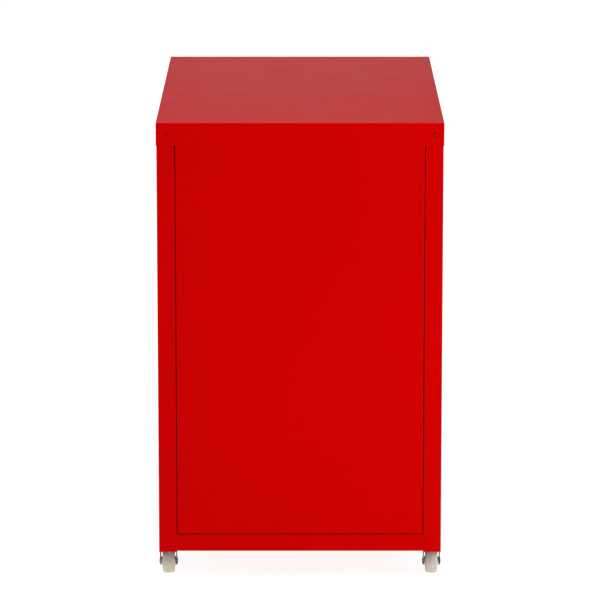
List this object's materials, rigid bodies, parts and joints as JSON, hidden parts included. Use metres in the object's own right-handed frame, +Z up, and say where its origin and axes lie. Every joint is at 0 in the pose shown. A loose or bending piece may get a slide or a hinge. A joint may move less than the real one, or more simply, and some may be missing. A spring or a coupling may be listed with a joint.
{
  "type": "metal filing cabinet",
  "caption": "Mobile pedestal filing cabinet of folded red sheet steel: box drawers over a file drawer on telescopic slides, central lock, small swivel casters.",
  "frame": {"origin": "on the floor under the middle of the case", "axes": "+Z up, drawers open towards -Y, the one-piece back faces +Y, the lock is on the +X side"},
  "size_m": [0.381, 0.6315, 0.623],
  "materials": {
    "red_powder_coat": "semi-gloss powder coat with a fine orange-peel texture",
    "zinc_steel": "bright zinc plated, satin",
    "satin_nickel": "satin nickel plated",
    "wheel_nylon": "beige moulded nylon, matte",
    "black_plastic": "black moulded plastic, fine texture",
    "guide_plastic": "natural acetal, satin"
  },
  "bodies": {
    "cabinet": {"top_back_cover": "red_powder_coat", "side_panel_left": "red_powder_coat", "side_panel_right": "red_powder_coat", "base_pan": "red_powder_coat", "case_fasteners": "zinc_steel", "slide_uprights": "red_powder_coat", "file_slide_outer_left": "zinc_steel", "file_slide_outer_right": "zinc_steel", "middle_slide_outer_left": "zinc_steel", "middle_slide_outer_right": "zinc_steel", "top_slide_outer_left": "zinc_steel", "top_slide_outer_right": "zinc_steel", "caster_brackets": "red_powder_coat", "caster_stems": "zinc_steel", "lock_body": "satin_nickel", "lock_bar_guides": "guide_plastic"},
    "lock_cylinder": {"lock_plug": "satin_nickel", "lock_cam": "zinc_steel"},
    "lock_bar": {"lock_bar": "zinc_steel"},
    "file_slide_middle_left": {"file_slide_middle_left": "zinc_steel"},
    "file_slide_middle_right": {"file_slide_middle_right": "zinc_steel"},
    "file_drawer": {"file_drawer_box": "red_powder_coat", "file_drawer_front": "red_powder_coat", "file_drawer_pull": "satin_nickel", "file_drawer_catch": "zinc_steel", "file_drawer_fasteners": "zinc_steel", "file_slide_inner_left": "zinc_steel", "file_slide_inner_right": "zinc_steel", "hanging_rails": "zinc_steel"},
    "middle_slide_middle_left": {"middle_slide_middle_left": "zinc_steel"},
    "middle_slide_middle_right": {"middle_slide_middle_right": "zinc_steel"},
    "middle_drawer": {"middle_drawer_box": "red_powder_coat", "middle_drawer_front": "red_powder_coat", "middle_drawer_pull": "satin_nickel", "middle_drawer_catch": "zinc_steel", "middle_drawer_fasteners": "zinc_steel", "middle_slide_inner_left": "zinc_steel", "middle_slide_inner_right": "zinc_steel"},
    "top_slide_middle_left": {"top_slide_middle_left": "zinc_steel"},
    "top_slide_middle_right": {"top_slide_middle_right": "zinc_steel"},
    "top_drawer": {"top_drawer_box": "red_powder_coat", "top_drawer_front": "red_powder_coat", "top_drawer_pull": "satin_nickel", "top_drawer_catch": "zinc_steel", "top_drawer_fasteners": "zinc_steel", "top_slide_inner_left": "zinc_steel", "top_slide_inner_right": "zinc_steel", "pencil_tray": "black_plastic"},
    "caster_front_left": {"caster_fork_front_left": "zinc_steel", "caster_axle_front_left": "zinc_steel"},
    "wheel_front_left": {"caster_wheel_front_left": "wheel_nylon"},
    "caster_front_right": {"caster_fork_front_right": "zinc_steel", "caster_axle_front_right": "zinc_steel"},
    "wheel_front_right": {"caster_wheel_front_right": "wheel_nylon"},
    "caster_rear_left": {"caster_fork_rear_left": "zinc_steel", "caster_axle_rear_left": "zinc_steel"},
    "wheel_rear_left": {"caster_wheel_rear_left": "wheel_nylon"},
    "caster_rear_right": {"caster_fork_rear_right": "zinc_steel", "caster_axle_rear_right": "zinc_steel"},
    "wheel_rear_right": {"caster_wheel_rear_right": "wheel_nylon"}
  },
  "joints": [
    {"name": "file_drawer_slide", "type": "slide", "parent": "cabinet", "child": "file_drawer", "axis": [0, -1, 0], "range_m": [0, 0.5]},
    {"name": "file_slide_middle_left_travel", "type": "slide", "parent": "cabinet", "child": "file_slide_middle_left", "axis": [0, -1, 0], "range_m": [0, 0.25]},
    {"name": "file_slide_middle_right_travel", "type": "slide", "parent": "cabinet", "child": "file_slide_middle_right", "axis": [0, -1, 0], "range_m": [0, 0.25]},
    {"name": "middle_drawer_slide", "type": "slide", "parent": "cabinet", "child": "middle_drawer", "axis": [0, -1, 0], "range_m": [0, 0.42]},
    {"name": "middle_slide_middle_left_travel", "type": "slide", "parent": "cabinet", "child": "middle_slide_middle_left", "axis": [0, -1, 0], "range_m": [0, 0.21]},
    {"name": "middle_slide_middle_right_travel", "type": "slide", "parent": "cabinet", "child": "middle_slide_middle_right", "axis": [0, -1, 0], "range_m": [0, 0.21]},
    {"name": "top_drawer_slide", "type": "slide", "parent": "cabinet", "child": "top_drawer", "axis": [0, -1, 0], "range_m": [0, 0.42]},
    {"name": "top_slide_middle_left_travel", "type": "slide", "parent": "cabinet", "child": "top_slide_middle_left", "axis": [0, -1, 0], "range_m": [0, 0.21]},
    {"name": "top_slide_middle_right_travel", "type": "slide", "parent": "cabinet", "child": "top_slide_middle_right", "axis": [0, -1, 0], "range_m": [0, 0.21]},
    {"name": "lock_turn", "type": "hinge", "parent": "cabinet", "child": "lock_cylinder", "pos_m": [0.16, -0.3, 0.606], "axis": [0, -1, 0], "range_deg": [0, 90]},
    {"name": "lock_bar_lift", "type": "slide", "parent": "cabinet", "child": "lock_bar", "axis": [0, 0, 1], "range_m": [0, 0.01202]},
    {"name": "caster_swivel_front_left", "type": "hinge", "parent": "cabinet", "child": "caster_front_left", "pos_m": [-0.178, -0.27, 0.0364], "axis": [0, 0, 1], "continuous": true},
    {"name": "wheel_spin_front_left", "type": "hinge", "parent": "caster_front_left", "child": "wheel_front_left", "pos_m": [-0.178, -0.257, 0.0165], "axis": [1, 0, 0], "continuous": true},
    {"name": "caster_swivel_front_right", "type": "hinge", "parent": "cabinet", "child": "caster_front_right", "pos_m": [0.178, -0.27, 0.0364], "axis": [0, 0, 1], "continuous": true},
    {"name": "wheel_spin_front_right", "type": "hinge", "parent": "caster_front_right", "child": "wheel_front_right", "pos_m": [0.178, -0.257, 0.0165], "axis": [1, 0, 0], "continuous": true},
    {"name": "caster_swivel_rear_left", "type": "hinge", "parent": "cabinet", "child": "caster_rear_left", "pos_m": [-0.178, 0.29, 0.0364], "axis": [0, 0, 1], "continuous": true},
    {"name": "wheel_spin_rear_left", "type": "hinge", "parent": "caster_rear_left", "child": "wheel_rear_left", "pos_m": [-0.178, 0.277, 0.0165], "axis": [1, 0, 0], "continuous": true},
    {"name": "caster_swivel_rear_right", "type": "hinge", "parent": "cabinet", "child": "caster_rear_right", "pos_m": [0.178, 0.29, 0.0364], "axis": [0, 0, 1], "continuous": true},
    {"name": "wheel_spin_rear_right", "type": "hinge", "parent": "caster_rear_right", "child": "wheel_rear_right", "pos_m": [0.178, 0.277, 0.0165], "axis": [1, 0, 0], "continuous": true}
  ],
  "couplings": [
    {"joint": "file_slide_middle_left_travel", "follows": "file_drawer_slide", "ratio": 0.5},
    {"joint": "file_slide_middle_right_travel", "follows": "file_drawer_slide", "ratio": 0.5},
    {"joint": "middle_slide_middle_left_travel", "follows": "middle_drawer_slide", "ratio": 0.5},
    {"joint": "middle_slide_middle_right_travel", "follows": "middle_drawer_slide", "ratio": 0.5},
    {"joint": "top_slide_middle_left_travel", "follows": "top_drawer_slide", "ratio": 0.5},
    {"joint": "top_slide_middle_right_travel", "follows": "top_drawer_slide", "ratio": 0.5},
    {"joint": "lock_turn", "follows": "lock_bar_lift", "rad_per_m": 130.67}
  ]
}
